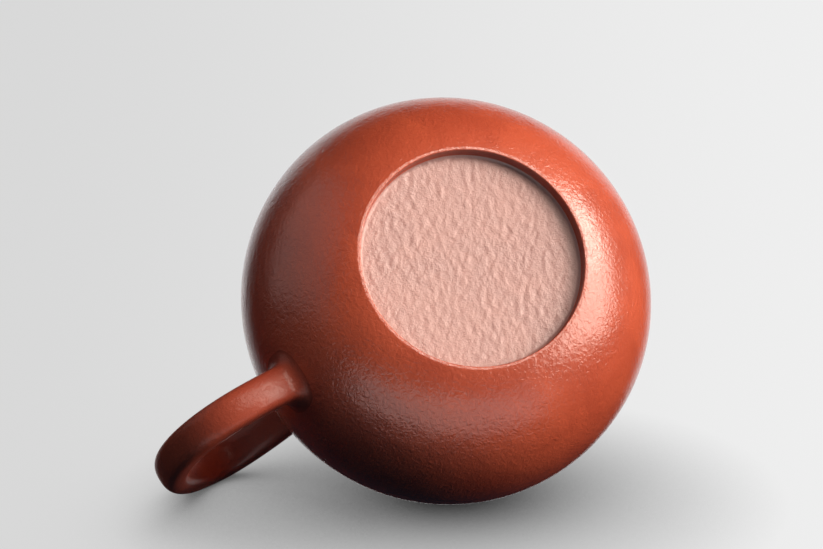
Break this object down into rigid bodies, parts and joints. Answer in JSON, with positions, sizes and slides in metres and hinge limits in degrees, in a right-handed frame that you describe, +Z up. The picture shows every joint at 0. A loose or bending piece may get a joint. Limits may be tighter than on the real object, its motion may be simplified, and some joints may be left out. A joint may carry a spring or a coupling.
{
  "type": "yixing clay teapot",
  "caption": "Small round unglazed clay teapot with a loop handle, a stub spout over a ball strainer, a sunken base and a lift-off lid with a vented ball knob.",
  "frame": {"origin": "on the body's axis, in the plane of the foot rim that stands on the table", "axes": "+Z up through the knob, +X from the body's axis to the handle, -X to the spout"},
  "size_m": [0.122, 0.084, 0.0747],
  "materials": {
    "body_clay": null,
    "base_clay": null,
    "inner_clay": null
  },
  "bodies": {
    "pot": {"body_wall": "body_clay", "base_disc": "base_clay", "shoulder_disc": "body_clay", "mouth_ring": "body_clay", "spout": "body_clay", "strainer": "inner_clay", "handle": "body_clay"},
    "lid_seat": {"lid_flange": "inner_clay"},
    "lid": {"lid_dome": "body_clay", "lid_plate": "body_clay", "knob": "body_clay"}
  },
  "joints": [
    {"name": "lid_lift", "type": "slide", "parent": "pot", "child": "lid_seat", "axis": [0, 0, 1], "range_m": [0, 0.06]},
    {"name": "lid_turn", "type": "hinge", "parent": "lid_seat", "child": "lid", "pos_m": [0, 0, 0.0572], "axis": [0, 0, 1], "continuous": true}
  ]
}
